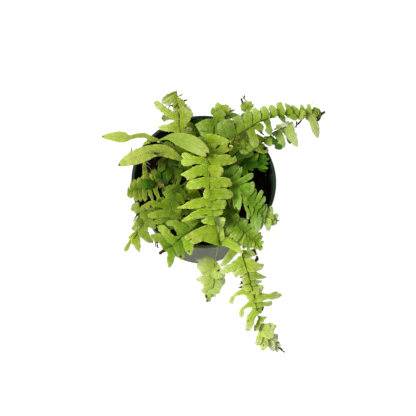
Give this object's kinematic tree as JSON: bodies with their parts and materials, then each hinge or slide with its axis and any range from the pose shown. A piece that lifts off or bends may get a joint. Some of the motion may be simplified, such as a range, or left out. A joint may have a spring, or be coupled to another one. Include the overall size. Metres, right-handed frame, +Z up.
{
  "type": "boston fern in a nursery pot",
  "caption": "Young boston fern with striped lime and green fronds, some arching over the lip of its plain round nursery pot, for dressing a shelf, sill or table.",
  "frame": {"origin": "middle of the pot's flat foot, on the surface the pot stands on", "axes": "+Z up; -Y towards the side the longest fronds hang over; +X to the right seen from that side"},
  "size_m": [0.2231, 0.2533, 0.1839],
  "materials": {
    "pot_plastic": "satin",
    "potting_mix": "rough, crumbly, damp",
    "rootstock": "scaly, matte",
    "frond_bright": "soft satin leaf, lime with darker green stripes",
    "frond_mid": "soft satin leaf",
    "frond_olive": "soft satin leaf",
    "frond_pale": "soft satin leaf, pale",
    "frond_dark": "soft satin leaf, deep green"
  },
  "bodies": {
    "root": {"pot": "pot_plastic", "soil": "potting_mix", "crown": "rootstock", "center_frond": "frond_bright", "front_right_frond": "frond_bright", "back_right_frond": "frond_bright", "right_shoulder_frond": "frond_mid", "back_left_frond": "frond_mid", "back_center_frond": "frond_mid", "back_curled_frond": "frond_olive", "twin_strap_frond": "frond_pale", "strap_leaf": "frond_pale", "front_left_frond": "frond_mid", "left_low_frond": "frond_bright", "left_small_frond": "frond_olive", "mid_left_frond": "frond_mid", "left_upper_frond": "frond_olive", "left_front_leaflets": "frond_olive", "right_frond": "frond_mid", "right_low_frond": "frond_mid", "right_inner_frond": "frond_dark", "rosette_frond": "frond_mid", "dark_leaflets_left": "frond_dark", "dark_leaflets_center": "frond_dark", "center_low_frond": "frond_olive", "back_low_frond": "frond_olive", "right_mid_frond": "frond_olive", "back_small_frond": "frond_olive"}
  },
  "joints": []
}
